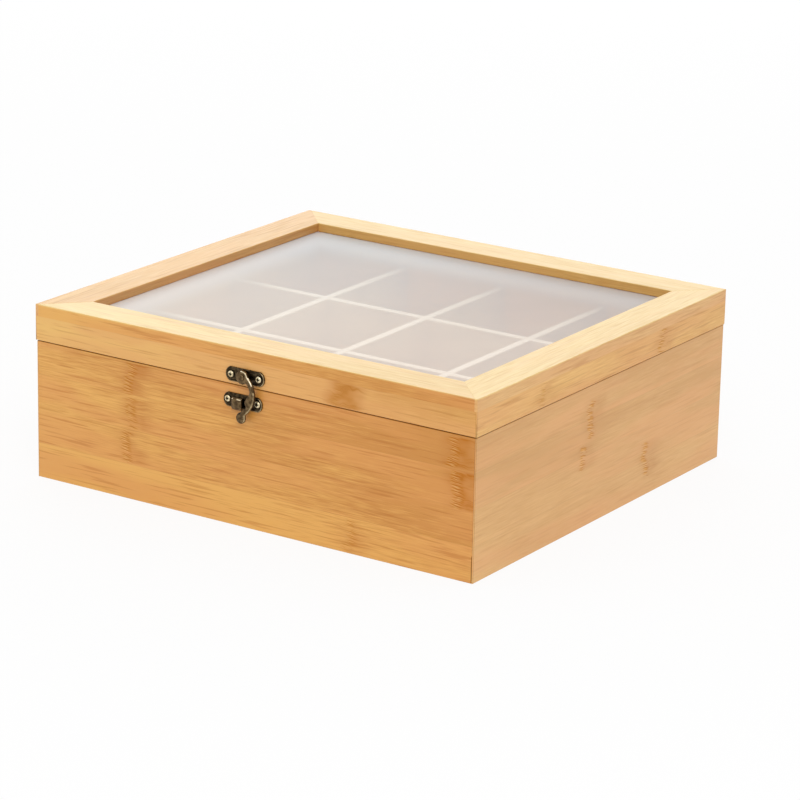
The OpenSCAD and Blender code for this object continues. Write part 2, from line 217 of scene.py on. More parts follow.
def knuckle_group():
    """One knuckle of the cane inside one strip: a wandering column of short teeth in a soft darker zone."""
    tree = bpy.data.node_groups.new("knuckle", "ShaderNodeTree")
    for name in ("u", "v", "place", "low", "high"):
        tree.interface.new_socket(name, in_out="INPUT", socket_type="NodeSocketFloat")
    for name in ("dark", "pale", "shade"):
        tree.interface.new_socket(name, in_out="OUTPUT", socket_type="NodeSocketFloat")
    g = Graph(tree)
    given = g.add("NodeGroupInput").outputs
    u, v, place = given["u"], given["v"], given["place"]
    flat = g.join(u, v, place)
    wander = g.math("SUBTRACT", g.noise(flat, (4, 90, 9), detail=3, roughness=0.6), 0.5)
    off = g.math("MULTIPLY_ADD", wander, -15 * MM, g.math("SUBTRACT", u, place))
    edges = [g.ramp(g.math("SUBTRACT", v, given["low"]), 0.0, 2 * MM)]
    edges.append(g.ramp(g.math("SUBTRACT", given["high"], v), 0.0, 2 * MM))
    inside = g.math("MULTIPLY", *edges)
    slanted = g.join(u, g.math("MULTIPLY_ADD", u, SLANT, v), place)
    # Pale strokes just above the teeth: the pith's colour, partly a painted highlight on the teeth's relief
    raised = g.join(u, g.math("ADD", g.math("MULTIPLY_ADD", u, SLANT, v), 0.4 * MM), place)
    teeth = g.ramp(g.noise(slanted, TEETH, detail=1), 0.44, 0.58)
    light = g.ramp(g.noise(raised, TEETH, detail=1), 0.46, 0.6)
    blotch = g.ramp(g.noise(flat, (60, 110, 40), detail=2), 0.3, 0.7, 0.3, 1.0)
    dark = g.math("MULTIPLY", teeth, g.near(off, 5 * MM))
    pale = g.math("MULTIPLY", light, g.near(g.math("ADD", off, 0.5 * MM), 4.5 * MM))
    shade = g.math("MULTIPLY", blotch, g.near(g.math("SUBTRACT", off, 4 * MM), 16 * MM))
    out = g.add("NodeGroupOutput")
    for name, value in (("dark", dark), ("pale", pale), ("shade", shade)):
        g.put(out.inputs[name], g.math("MULTIPLY", value, inside))
    return tree


KNUCKLE = knuckle_group()


def bamboo(name, along, across, tones, knuckles=(), seed=0.0, strip=20 * MM, start=0.0, painted_light_along=0.0,
           painted_light_across=0.0, painted_light_foot=0.0, contrast=1.0, lit_top_palette=None, seams=(), outside=None, gap_shade=FRONT_GAP_SHADE):
    """Sanded and lacquered bamboo: strips glued side by side, with fibres that run along the board.

    knuckles are (place along the board, lowest and highest place across it, strength of the teeth
    and of the darker zone round them), in millimetres. start is where a strip begins across the
    board. drift and lift are painted light: how much paler the board is made along and across a metre
    of it, for how the light falls on it, and foot is how much paler its first strip is painted, against
    the shade the floor leaves there. contrast is the strength of the fibres. top is the palette of its
    upper face and that face's height, where it differs: paler, painted light and sheen, and on the
    dividers partly their sanded edge. seams are dark joint lines, as (place along, lowest and highest
    place across, half width, strength). outside is how far the outer face stands from the middle of
    the box, on a board whose outer arris takes painted shade, by scorch, where the gap between lid
    and body would shade it."""
    material, g, surface = new_material(name)
    parts = g.add("ShaderNodeSeparateXYZ", {0: g.add("ShaderNodeTexCoord").outputs["Object"]}).outputs
    depth = [axis for axis in AXES if axis not in (along, across)][0]
    u, v, w = parts[along], parts[across], parts[depth]

    # Strips, each with its own tint and its own length of cane
    count = g.math("DIVIDE", g.math("SUBTRACT", v, start), strip)
    number = g.math("FLOOR", count)
    own = g.add("ShaderNodeTexWhiteNoise", {"W": g.math("ADD", number, seed)}, noise_dimensions="1D")
    own = own.outputs["Value"]
    edge = g.math("MULTIPLY", g.math("PINGPONG", count, 0.5), strip)

    # Knuckles
    dark, pale, shade = 0.0, 0.0, 0.0
    for place, low, high, bite, gloom in knuckles:
        mark = g.add("ShaderNodeGroup", node_tree=KNUCKLE)
        values = {"u": u, "v": v, "place": place * MM, "low": low * MM, "high": high * MM}
        for key, value in values.items():
            g.put(mark.inputs[key], value)
        dark = g.math("MULTIPLY_ADD", mark.outputs["dark"], bite, dark)
        pale = g.math("MULTIPLY_ADD", mark.outputs["pale"], bite, pale)
        shade = g.math("MULTIPLY_ADD", mark.outputs["shade"], gloom, shade)

    # Fibres, bent a little where they pass a knuckle
    bend = g.noise(g.join(u, v, seed), (110, 70, 1), detail=1, shift=seed)
    bend = g.math("MULTIPLY", g.math("MULTIPLY", g.math("SUBTRACT", bend, 0.5), shade), 7 * MM)
    grain = g.join(
        g.math("MULTIPLY_ADD", own, 0.7, u),
        g.math("ADD", v, bend),
        g.math("MULTIPLY_ADD", own, 0.9, w),
    )
    patch = g.noise(grain, (11, 42, 42), detail=2, shift=seed)
    band = g.noise(grain, (6, 160, 160), detail=2, shift=seed + 2.6)
    warm = g.noise(grain, (10, 55, 55), detail=2, shift=seed + 3.1)
    streak = g.noise(grain, (64, 1300, 1300), detail=2, roughness=0.6, shift=seed + 5.7)
    fine = g.noise(grain, (100, 2300, 2300), detail=1, shift=seed + 9.2)
    vein = g.ramp(g.noise(grain, (30, 720, 720), detail=1, shift=seed + 12.4), 0.54, 0.7)

    # Colour
    # Painted light: the board made paler or darker along and across it by drift and lift, and its first strip
    # paler by foot
    tone = g.math("MULTIPLY_ADD", u, painted_light_along, g.math("MULTIPLY_ADD", v, painted_light_across, 0.5))
    tone = g.math("MULTIPLY_ADD", g.math("COMPARE", number, 0.0, 0.5), painted_light_foot, tone)
    shares = ((own, 0.2), (patch, 1.1), (band, 0.7), (streak, 1.6 * contrast), (fine, 0.9 * contrast))
    for part, share in shares:
        tone = g.math("MULTIPLY_ADD", g.math("SUBTRACT", part, 0.5), share, tone)
    tone = g.math("MULTIPLY_ADD", shade, -0.9, tone)
    clamped = g.math("MINIMUM", g.math("MAXIMUM", tone, -0.6), 1.3)
    blush = g.ramp(warm, 0.4, 0.64, 0.0, 0.6)
    lines = g.math("MULTIPLY", vein, 0.3 * contrast)
    teeth = g.math("MULTIPLY", dark, 0.7)
    dusk = g.math("MINIMUM", g.math("MULTIPLY", shade, 0.3), 0.65)
    # The board's palette, and for its upper face a paler copy with painted light and sheen
    colours = []
    for palette in [tones] + ([lit_top_palette[0]] if lit_top_palette else []):
        colour = g.mix(clamped, linear(palette["deep"]), linear(palette["pale"]))
        colour = g.mix(blush, colour, linear(palette["rosy"]))
        for amount in (lines, dusk, teeth):
            colour = g.mix(amount, colour, linear(palette["line"]))
        colours.append(colour)
    colour = colours[0]
    # Painted light: the upper face, near the given height, takes the paler palette
    if lit_top_palette:
        lit_top = g.ramp(parts["Z"], lit_top_palette[1] - 0.7 * MM, lit_top_palette[1] - 0.1 * MM)
        colour = g.mix(lit_top, *colours)
    # Pale strokes by the teeth: the pith's colour, partly a painted highlight on the teeth's relief
    colour = g.mix(g.math("MULTIPLY", pale, 0.4), colour, linear(PITH_AND_HIGHLIGHT))
    glue_and_gap_shade = g.math("MULTIPLY", g.near(edge, 0.3 * MM), 0.1)
    for place, low, high, half, strength in seams:
        line = g.near(g.math("SUBTRACT", u, place * MM), half * MM)
        for reach in (g.math("SUBTRACT", v, low * MM), g.math("SUBTRACT", high * MM, v)):
            line = g.math("MULTIPLY", line, g.ramp(reach, -0.5 * MM, 0.5 * MM))
        glue_and_gap_shade = g.math("MULTIPLY_ADD", line, strength, glue_and_gap_shade)
    if outside:
        # Painted shade: the outer arrises darkened where the gap between lid and body would lie in shade
        gap_shade_band = g.near(g.math("SUBTRACT", parts["Z"], SEAM), 0.6 * MM)
        skin = g.ramp(g.math("ABSOLUTE", w), outside - 2 * MM, outside - 1 * MM)
        glue_and_gap_shade = g.math("MULTIPLY_ADD", g.math("MULTIPLY", gap_shade_band, skin), gap_shade, glue_and_gap_shade)
    glue_and_gap_shade = g.math("MINIMUM", glue_and_gap_shade, 1.0)
    colour = g.mix(glue_and_gap_shade, colour, linear(GLUE_AND_GAP_SHADE))

    # Lacquer: satin, a little rougher along the darker streaks, and starved over the dark marks
    starved = g.math("MULTIPLY_ADD", lines, 0.6, g.math("ADD", teeth, g.math("ADD", glue_and_gap_shade, dusk)))
    height = g.math("MULTIPLY_ADD", fine, 0.4, g.math("MULTIPLY", streak, 0.6))
    height = g.math("MULTIPLY_ADD", dark, -0.05, height)
    bump = g.add("ShaderNodeBump", {"Height": height, "Strength": 0.3, "Distance": 0.1 * MM})
    gloss = g.add(
        "ShaderNodeBsdfPrincipled",
        {
            "Base Color": colour,
            "Roughness": g.ramp(streak, 0.3, 0.7, 0.5, 0.38),
            "Normal": bump.outputs[0],
            "Specular IOR Level": g.ramp(starved, 0.0, 0.6, 0.5, 0.04),
            "Coat Weight": g.ramp(starved, 0.0, 0.6, 0.35, 0.0),
            "Coat Roughness": 0.28,
            "Coat IOR": 1.5,
        },
    )
    g.put(surface, gloss.outputs[0])
    return material


def acrylic(name):
    """The clear pane, hazy where it is seen at a low angle. Lamps light what is under it.

    Only the upper face has haze, so that it counts once through the thickness."""
    material, g, surface = new_material(name)
    point = g.add("ShaderNodeTexCoord").outputs["Object"]
    x, y, z = g.add("ShaderNodeSeparateXYZ", {0: point}).outputs
    # Painted reflection and light: the haze's colour, paler and warmer towards the front and right and greyer
    # towards the back, with soft diagonal streaks
    smear = g.noise(g.join(g.math("ADD", x, y), g.math("SUBTRACT", y, x), 0.0), (5, 22, 1), detail=2)
    smear = g.math("MULTIPLY", g.math("SUBTRACT", smear, 0.5), 0.4)
    away = g.math("ADD", g.ramp(y, -90 * MM, 110 * MM), smear)
    aside = g.ramp(x, -100 * MM, 110 * MM)
    rim = g.math("MAXIMUM", g.ramp(x, -80 * MM, -122 * MM), g.ramp(y, 55 * MM, 106 * MM))
    # Painted light: the haze paler near the frame at the left and back, against the shade the frame casts on
    # the pane
    painted_edge_light = g.math("MAXIMUM", g.ramp(x, -92 * MM, -124 * MM), g.ramp(y, 84 * MM, 110 * MM, 0.0, 0.3))
    facing = g.add("ShaderNodeLayerWeight", {"Blend": 0.5}).outputs["Facing"]
    low, high = (corner.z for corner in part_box("window_pane"))
    upper = g.math("GREATER_THAN", z, (low + high) / 2)
    cover = g.ramp(facing, 0.1, 0.75, 0.1, g.ramp(rim, 0.0, 1.0, 0.62, 0.8))
    near_tone = g.mix(aside, linear((249, 246, 239)), linear((241, 233, 225)))
    far_tone = g.mix(aside, linear((226, 232, 234)), linear((210, 208, 207)))
    tone = g.mix(away, near_tone, far_tone)
    inputs = {
        "Base Color": g.mix(g.math("MULTIPLY", painted_edge_light, 0.45), tone, linear((252, 252, 254))),
        "Roughness": 0.42,
        "IOR": 1.49,
        "Alpha": g.math("MULTIPLY", cover, upper),
    }
    pane = g.add("ShaderNodeBsdfPrincipled", inputs)
    open_way = g.add("ShaderNodeBsdfTransparent", {"Color": linear((250, 250, 250))})
    rays = g.add("ShaderNodeLightPath").outputs
    lit = g.math("MAXIMUM", rays["Is Shadow Ray"], rays["Is Diffuse Ray"])
    both = g.add("ShaderNodeMixShader", {0: lit, 1: pane.outputs[0], 2: open_way.outputs[0]})
    g.put(surface, both.outputs[0])
    return material


def metal(name, base, patina, bright, rough, speckle=0.35):
    """Plated metal with a blotchy patina, rubbed brighter in places."""
    material, g, surface = new_material(name)
    point = g.add("ShaderNodeTexCoord").outputs["Object"]
    blotch = g.noise(point, (480, 480, 480), detail=3, roughness=0.6)
    grit = g.noise(point, (2600, 2600, 2600), detail=2)
    colour = g.mix(g.ramp(blotch, 0.38, 0.6), linear(base), linear(patina))
    colour = g.mix(g.ramp(grit, 0.55, 0.75, 0.0, speckle), colour, linear(bright))
    bump = g.add("ShaderNodeBump", {"Height": grit, "Strength": 0.25, "Distance": 0.05 * MM})
    inputs = {
        "Base Color": colour,
        "Metallic": 1.0,
        "Roughness": g.ramp(blotch, 0.3, 0.7, rough, rough + 0.14),
        "Normal": bump.outputs[0],
    }
    g.put(surface, g.add("ShaderNodeBsdfPrincipled", inputs).outputs[0])
    return material


def finish_nodes(names, material):
    for name in names:
        NODES[name].material_slots[0].material = material


def edge_group():
    """Marks a board's long sharp edges for the bevel that follows, but not the lid's flush joint."""
    tree = bpy.data.node_groups.new("board_edges", "GeometryNodeTree")
    for way in ("INPUT", "OUTPUT"):
        tree.interface.new_socket("Geometry", in_out=way, socket_type="NodeSocketGeometry")
    g = Graph(tree)
    given = g.add("NodeGroupInput").outputs[0]
    plain = g.add("GeometryNodeRemoveAttribute", {"Geometry": given, "Name": "custom_normal"})
    whole = g.add("GeometryNodeMergeByDistance", {"Geometry": plain.outputs[0], "Distance": 1e-6})
    ends = g.add("GeometryNodeInputMeshEdgeVertices").outputs
    inputs = {0: ends["Position 1"], 1: ends["Position 2"]}
    length = g.add("ShaderNodeVectorMath", inputs, operation="DISTANCE").outputs["Value"]
    angle = g.add("GeometryNodeInputMeshEdgeAngle").outputs["Unsigned Angle"]
    sharp = g.math("GREATER_THAN", angle, math.radians(30))
    weight = g.math("MULTIPLY", g.math("GREATER_THAN", length, 1.5 * MM), sharp)
    for end in ("Position 1", "Position 2"):
        height = g.add("ShaderNodeSeparateXYZ", {0: ends[end]}).outputs["Z"]
        flush = g.math("COMPARE", height, JOINT, 0.02 * MM)
        weight = g.math("MULTIPLY", weight, g.math("SUBTRACT", 1.0, flush))
    inputs = {"Geometry": whole.outputs[0], "Name": "bevel_weight_edge", "Value": weight}
    marked = g.add("GeometryNodeStoreNamedAttribute", inputs, data_type="FLOAT", domain="EDGE")
    g.put(g.add("NodeGroupOutput").inputs[0], marked.outputs[0])
    return tree


EDGES = edge_group()


def ease(names, width):
    """Rounds the long edges of CAD nodes with modifiers."""
    for name in names:
        NODES[name].modifiers.new("edges", "NODES").node_group = EDGES
        bevel = NODES[name].modifiers.new("ease", "BEVEL")
        bevel.width = width
        bevel.segments = EASE_SEGMENTS
        bevel.limit_method = "WEIGHT"
        bevel.use_clamp_overlap = False


def dress_walls():
    """The four walls. Places of knuckles and seams are in millimetres."""
    front_marks = [
        (-78, 59, 79, 0.9, 0.6),
        (-77, 40, 59, 1, 0.7),
        (-82, 20, 40, 1, 0.6),
        (130, 60, 79, 0.9, 1.3),
        (133, 38, 60, 1, 1.6),
        (65, 0, 20, 0.6, 0.4),
    ]
    side_marks = [(-14.5, 48, 71, 1, 0.8), (-22.5, 32, 48, 1, 0.5), (45.5, 9, 32, 0.9, 0.5)]
    back_marks = [
        (-104, 20, 60, 0.9, 0.6),
        (-40, 60, 79, 0.8, 0.5),
        (58, 0, 20, 0.8, 0.5),
        (96, 20, 40, 1, 0.6),
    ]
    left_marks = [(62, 40, 60, 0.9, 0.4), (-58, 20, 40, 0.8, 0.4), (10, 60, 79, 0.7, 0.3)]
    front_seams = [(143.1, 0, 79, 0.35, 0.6), (143.1, 22, 47, 0.3, 0.3), (142.9, 0, 15, 0.7, 0.85)]
    side_seams = [(-129.6, 0, 79, 0.3, 0.4)]
    front = bamboo("bamboo_front", "X", "Z", HONEY, front_marks, 1.0, painted_light_along=-3.6, painted_light_across=-3.0, painted_light_foot=0.7,
                   contrast=1.1, seams=front_seams, outside=HALF_D)
    finish_nodes(["front_wall"], front)
    right = bamboo("bamboo_right", "Y", "Z", STRAW, side_marks, 2.0, painted_light_across=-6.0, contrast=0.55,
                   seams=side_seams, outside=HALF_W, gap_shade=SIDE_GAP_SHADE)
    finish_nodes(["right_wall"], right)
    back = bamboo("bamboo_back", "X", "Z", HONEY, back_marks, 3.0, outside=HALF_D)
    finish_nodes(["back_wall"], back)
    left = bamboo("bamboo_left", "Y", "Z", STRAW, left_marks, 4.0, outside=HALF_W)
    finish_nodes(["left_wall"], left)


def dress_rims():
    """The four boards under the lid's frame."""
    rims = {
        "front": ("X", [(59, 79, 94, 0.3, 2.4)], -4.6),
        "right": ("Y", [(59.5, 79, 94, 0.9, 0.5), (-66.5, 79, 94, 0.4, 0.4)], 0.0),
        "back": ("X", [(-52, 79, 94, 0.9, 0.5)], 0.0),
        "left": ("Y", [(-30, 79, 94, 0.8, 0.4)], 0.0),
    }
    corners = {"X": (143.3, 79, 100, 0.3, 0.35), "Y": (-129.9, 79, 100, 0.3, 0.35)}
    outsides = {"X": HALF_D, "Y": HALF_W}
    gap_shades = {"X": FRONT_GAP_SHADE, "Y": SIDE_GAP_SHADE}
    for index, (side, (along, marks, painted_light_along)) in enumerate(rims.items()):
        wood = bamboo("bamboo_rim_" + side, along, "Z", BLOND, marks, 11.0 + index, start=-6 * MM,
                      painted_light_along=painted_light_along, seams=[corners[along]], outside=outsides[along],
                      gap_shade=gap_shades[along])
        finish_nodes(["lid_rim_" + side], wood)


def dress_frames():
    """The four rails round the window. Their upper face takes a paler palette, painted light and sheen; the
    back rail's edges take WHEAT, painted paler against the shade inside the window, and the left rail's upper
    face takes WHEAT, painted less pale for the lesser light there.
    """
    frames = {
        "front": ("X", "Y", HONEY, CREAM, -4.6, 0.0),
        "right": ("Y", "X", STRAW, CREAM, 0.0, 0.0),
        "back": ("X", "Y", WHEAT, CREAM, 0.0, 0.0),
        "left": ("Y", "X", STRAW, WHEAT, 0.0, 1.2),
    }
    for index, (side, (along, across, edges, lit_top, painted_light_along, painted_light_across)) in enumerate(frames.items()):
        wood = bamboo("bamboo_frame_" + side, along, across, edges, (), 21.0 + index, strip=23 * MM,
                      painted_light_along=painted_light_along, painted_light_across=painted_light_across, lit_top_palette=(lit_top, TOP))
        finish_nodes(["lid_frame_" + side], wood)


def dress_inside():
    """The dividers and the bottom panel. The dividers' sides take INNER, painted darker for the shade in the
    deep compartments, and their upper edges CHALK, partly pale sanded edge and partly painted light.
    """
    chalk = (CHALK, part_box("long_divider_front")[1].z)
    long_wood = bamboo("bamboo_long_dividers", "X", "Z", INNER, [(-30, 4, 78, 0.7, 0.4)], 31.0, lit_top_palette=chalk)
    cross_wood = bamboo("bamboo_cross_dividers", "Y", "Z", INNER, [(70, 4, 78, 0.7, 0.4)], 32.0, lit_top_palette=chalk)
    finish_nodes([n for n in NODES if n.startswith("long_divider")], long_wood)
    finish_nodes([n for n in NODES if n.startswith("cross_divider")], cross_wood)
    finish_nodes(["bottom_panel"], bamboo("bamboo_bottom", "X", "Y", BIRCH, [(40, -20, 40, 0.8, 0.4)], 33.0))


def dress_boards():
    """Bamboo for every board, its grain along the board's length, and eased edges."""
    dress_walls()
    dress_rims()
    dress_frames()
    dress_inside()
    walls = [n for n in NODES if n.endswith("_wall")]
    lids = [n for n in NODES if n.startswith(("lid_rim", "lid_frame"))]
    ease(walls + lids, BOARD_EASE)
    ease([n for n in NODES if "divider" in n] + ["bottom_panel", "window_pane"], THIN_EASE)
    finish_nodes(["window_pane"], acrylic("clear_acrylic"))


def loft(bm, loops, slots=None):
    """Skins a stack of loops with as many points each, and closes both ends.

    slots are the material slots of the bands between the loops."""
    rows = [[bm.verts.new(point) for point in loop] for loop in loops]
    for index, (low, high) in enumerate(zip(rows, rows[1:])):
        for k in range(len(low)):
            face = bm.faces.new((low[k - 1], low[k], high[k], high[k - 1]))
            face.material_index = slots[index] if slots else 0
    bm.faces.new(rows[0][::-1])
    bm.faces.new(rows[-1]).material_index = slots[-1] if slots else 0


def ring(radius, height, middle=(0.0, 0.0)):
    """A loop round middle. radius is a number, or gives one for an angle."""
    turns = [2 * math.pi * k / RING_STEPS for k in range(RING_STEPS)]
    reach = radius if callable(radius) else lambda turn: radius
    return [
        Vector((middle[0] + reach(t) * math.cos(t), middle[1] + reach(t) * math.sin(t), height))
        for t in turns
    ]


def on_front(x, y, z):
    """Millimetres on a front face to the row frame: across, up, and out towards the viewer."""
    turn = Matrix(((1, 0, 0), (0, 0, -1), (0, 1, 0))).to_4x4()
    return Matrix.Translation((x, y, z)) @ turn @ Matrix.Scale(MM, 4)


def on_back(x, y, z):
    """The same on the back face, where out is +Y."""
    turn = Matrix(((-1, 0, 0), (0, 0, 1), (0, 1, 0))).to_4x4()
    return Matrix.Translation((x, y, z)) @ turn @ Matrix.Scale(MM, 4)


def make_piece(name, bm, node, materials):
    """A finished piece from bm, which is in the row frame. It takes the place of node, which it hides, and
    rides with it.
    """
    bmesh.ops.recalc_face_normals(bm, faces=bm.faces)
    mesh = bpy.data.meshes.new(name)
    bm.to_mesh(mesh)
    bm.free()
    mesh.shade_smooth()
    mesh.set_sharp_from_angle(angle=math.radians(38))
    for material in materials:
        mesh.materials.append(material)
    piece = bpy.data.objects.new(name, mesh)
    bpy.context.scene.collection.objects.link(piece)
    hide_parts(node)
    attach(piece, NODES[node]["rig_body"])


def plate_loop(inset, height):
    """Outline of a latch plate, drawn in by inset: two round ends and a slightly narrower middle."""
    radius = PLATE_R - inset
    reach = PLATE_W / 2 - PLATE_R
    lean = math.asin((PLATE_WAIST / 2 - inset) / radius)
    points = []
    for side in (1, -1):
        for k in range(PLATE_STEPS + 1):
            turn = side * (-lean + 2 * lean * k / PLATE_STEPS)
            points.append(Vector((side * (reach + radius * math.cos(turn)), radius * math.sin(turn), height)))
    return points


def stamped_plate(bm, holes):
    """A plate with a raised, rounded border and a dished seat round each screw."""
    border = [(0.0, 0.0), (0.0, 0.6), (0.08, 0.82), (0.26, 0.98), (0.5, 1.0), (0.72, 0.9), (0.86, 0.66)]
    loops = [plate_loop(*step) for step in border]
    rows = [[bm.verts.new(point) for point in loop] for loop in loops]
    for index, (low, high) in enumerate(zip(rows, rows[1:])):
        for k in range(len(low)):
            face = bm.faces.new((low[k - 1], low[k], high[k], high[k - 1]))
            # Painted highlight: the crest of the border's right half, where light would catch it
            highlit = index in (2, 3) and low[k].co.x > 0
            face.material_index = PLATE_FINISHES.index("rubbed_and_highlit" if highlit else "black")
    bm.faces.new(rows[0][::-1])
    edges = [bm.edges.get((rows[-1][k - 1], rows[-1][k])) for k in range(len(rows[-1]))]
    seat = [(2.75, 0.66), (2.6, 0.74), (2.4, 0.72), (2.15, 0.5)]
    for x in holes:
        circles = [[bm.verts.new(point) for point in ring(r, h, middle=(x, 0.0))] for r, h in seat]
        for low, high in zip(circles, circles[1:]):
            for k in range(len(low)):
                bm.faces.new((low[k - 1], low[k], high[k], high[k - 1]))
        bm.faces.new(circles[-1])
        edges += [bm.edges.get((circles[0][k - 1], circles[0][k])) for k in range(len(circles[0]))]
    bmesh.ops.triangle_fill(bm, use_beauty=True, use_dissolve=False, edges=edges)


def add_boss(bm):
    """The raised boss that carries the hook, rooted in the plate."""
    steps = [(BOSS_R, 0.3), (BOSS_R, PLATE_T + BOSS_H - 0.2), (BOSS_R - 0.2, PLATE_T + BOSS_H)]
    loft(bm, [ring(radius, height) for radius, height in steps])


def add_tongue(bm, root, free, middle):
    """The catch's raised tongue: a sheet pressed out of the plate, cupped towards its two edges."""
    across = [root, root + 0.35, root + 0.9, root + 1.4, root + 2.1, root + 3.2]
    across += [free - 3.0, free - 1.6, free - 0.5, free - 0.12, free]
    rise = [0.5, 1.2, 2.3, 2.9, 3.16, 3.24, 3.28, 3.3, 3.26, 3.12, 2.8]
    rows = 12
    grid = {}
    for back, drop, floor in ((0, 0.0, 0.4), (1, TONGUE_T, 0.2)):
        for i, (x, z) in enumerate(zip(across, rise)):
            for j in range(rows + 1):
                share = 2 * j / rows - 1
                cup = 0.95 * abs(share) ** 5
                depth = max(z - cup - drop, floor)
                half = TONGUE_H / 2 * (1 - 0.05 * abs(share) ** 4)
                grid[back, i, j] = bm.verts.new((x, middle + share * half, depth))
    last = len(across) - 1
    for back in (0, 1):
        for i in range(last):
            for j in range(rows):
                corners = ((i, j), (i + 1, j), (i + 1, j + 1), (i, j + 1))
                # Painted highlight: dashes along the tongue's upper edge
                highlit = not back and j == rows - 2 and i in (1, 2, 3, 6, 7)
                face = bm.faces.new([grid[back, a, b] for a, b in corners])
                face.material_index = PLATE_FINISHES.index("bright" if highlit else "bronze")
    rim = [((i, j), (i + 1, j)) for i in range(last) for j in (0, rows)]
    rim += [((i, j), (i, j + 1)) for j in range(rows) for i in (0, last)]
    for one, other in rim:
        corners = ((0, *one), (0, *other), (1, *other), (1, *one))
        face = bm.faces.new([grid[k] for k in corners])
        face.material_index = PLATE_FINISHES.index("bronze")


def rounded(node):
    """A CAD node's mesh with every sharp edge rounded, as bmesh. The rounding takes slot 1."""
    bm = bmesh.new()
    bm.from_mesh(NODES[node].data)
    for layer in [bm.loops.layers.float_vector, bm.loops.layers.int]:
        for key in layer.keys():
            layer.remove(layer[key])
    bmesh.ops.remove_doubles(bm, verts=bm.verts, dist=1e-6)
    bmesh.ops.dissolve_limit(bm, angle_limit=math.radians(1), verts=bm.verts, edges=bm.edges)
    for face in bm.faces:
        face.material_index = 0
    sharp = [e for e in bm.edges if e.is_manifold and e.calc_face_angle(0.0) > math.radians(35)]
    bmesh.ops.bevel(bm, geom=sharp, offset=LEAF_EASE, offset_type="OFFSET", segments=EASE_SEGMENTS,
                    profile=0.5, affect="EDGES", clamp_overlap=True, material=1)
    bmesh.ops.dissolve_degenerate(bm, dist=1e-6, edges=bm.edges)
    return bm


def silhouette(node):
    """The closed loops round a CAD node as the front sees it, longest first.

    They are in millimetres, as (across, up)."""
    mesh = NODES[node].data
    spots = [Vector((vert.co.x, vert.co.z)) / MM for vert in mesh.vertices]
    ties = [tuple(edge.vertices) for edge in mesh.edges]
    flat, _, faces, _, _, _ = delaunay_2d_cdt(spots, ties, [], 0, 1e-3)
    corners = [face.vertices[:] for face in mesh.polygons]
    tree = BVHTree.FromPolygons([vert.co for vert in mesh.vertices], corners)
    sides = {}
    for face in faces:
        middle = sum((flat[k] for k in face), Vector((0, 0))) / 3 * MM
        if tree.ray_cast(Vector((middle.x, -1, middle.y)), Vector((0, 1, 0)))[0]:
            for a, b in zip(face, face[1:] + face[:1]):
                sides[a, b] = True
    links = {a: b for a, b in sides if (b, a) not in sides}
    loops = []
    while links:
        loop = [min(links)]
        while loop[-1] in links:
            loop.append(links.pop(loop[-1]))
        loops.append([flat[k].copy() for k in loop[:-1]])

    def length(loop):
        return sum((p - q).length for p, q in zip(loop, loop[1:]))

    return sorted(loops, key=length, reverse=True)


def softened(loop, step, rounds):
    """A loop with points no further apart than step, and its corners rounded off."""
    points = []
    for start, end in zip(loop, loop[1:] + loop[:1]):
        pieces = max(1, math.ceil((end - start).length / step))
        points += [start.lerp(end, k / pieces) for k in range(pieces)]
    for _ in range(rounds):
        count = len(points)
        points = [points[k] / 2 + (points[k - 1] + points[(k + 1) % count]) / 4 for k in range(count)]
    return points


def nearest(point, loop):
    """Distance from a point to a closed loop, and the way to its nearest place there."""
    best = Vector((1e6, 0))
    for start, end in zip(loop, loop[1:] + loop[:1]):
        along = end - start
        share = (point - start).dot(along) / along.length_squared
        way = start + along * min(max(share, 0.0), 1.0) - point
        if way.length_squared < best.length_squared:
            best = way
    return best.length, best


def inside(point, loop):
    """Whether a point is inside a closed loop."""
    odd = False
    for start, end in zip(loop, loop[1:] + loop[:1]):
        if (start.y > point.y) != (end.y > point.y):
            if point.x < start.x + (point.y - start.y) * (end.x - start.x) / (end.y - start.y):
                odd = not odd
    return odd


def hook_points(node, outer):
    """Points for the hook's face: its outline, rows close inside it, and an even grid further in."""
    low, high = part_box(node)
    spots = list(outer)
    first = outer[0] + (outer[1] - outer[0]).orthogonal().normalized() * HOOK_ROWS[0]
    turn = 1 if inside(first, outer) else -1
    for k, point in enumerate(outer):
        way = (outer[(k + 1) % len(outer)] - outer[k - 1]).orthogonal().normalized() * turn
        for step in HOOK_ROWS:
            spot = point + way * step
            if inside(spot, outer) and nearest(spot, outer)[0] > 0.93 * step:
                spots.append(spot)
    across = range(int(low.x / MM / HOOK_CELL), int(high.x / MM / HOOK_CELL) + 1)
    up = range(int(low.z / MM / HOOK_CELL), int(high.z / MM / HOOK_CELL) + 1)
    for i in across:
        for j in up:
            spot = Vector((i * HOOK_CELL + (j % 2) * HOOK_SHIFT, j * HOOK_CELL))
            if inside(spot, outer) and nearest(spot, outer)[0] > HOOK_CORE:
                spots.append(spot)
    return spots


def hook_painted_light(place, outer, tip, level):
    """The slot of the hook's face at a place: bronze, with a painted highlight along its upper and its lower
    right outline and painted shade on the left of its ball.
    """
    away, way = nearest(place, outer)
    upper_highlight = 0.3 < away < 0.75 and way.y > 0.15 * away and way.x > -0.2 * away
    right_highlight = 0.15 < away < 0.75 and way.x > 0.5 * away
    ball_shade = away < 0.75 and way.x < 0.3 * away
    if place.y > level - 3.6 and upper_highlight:
        return "bright"
    if place.y < level - 7 and right_highlight:
        return "rubbed_and_highlit"
    if (place - tip).length < TIP_R and ball_shade:
        return "black"
    return "bronze"


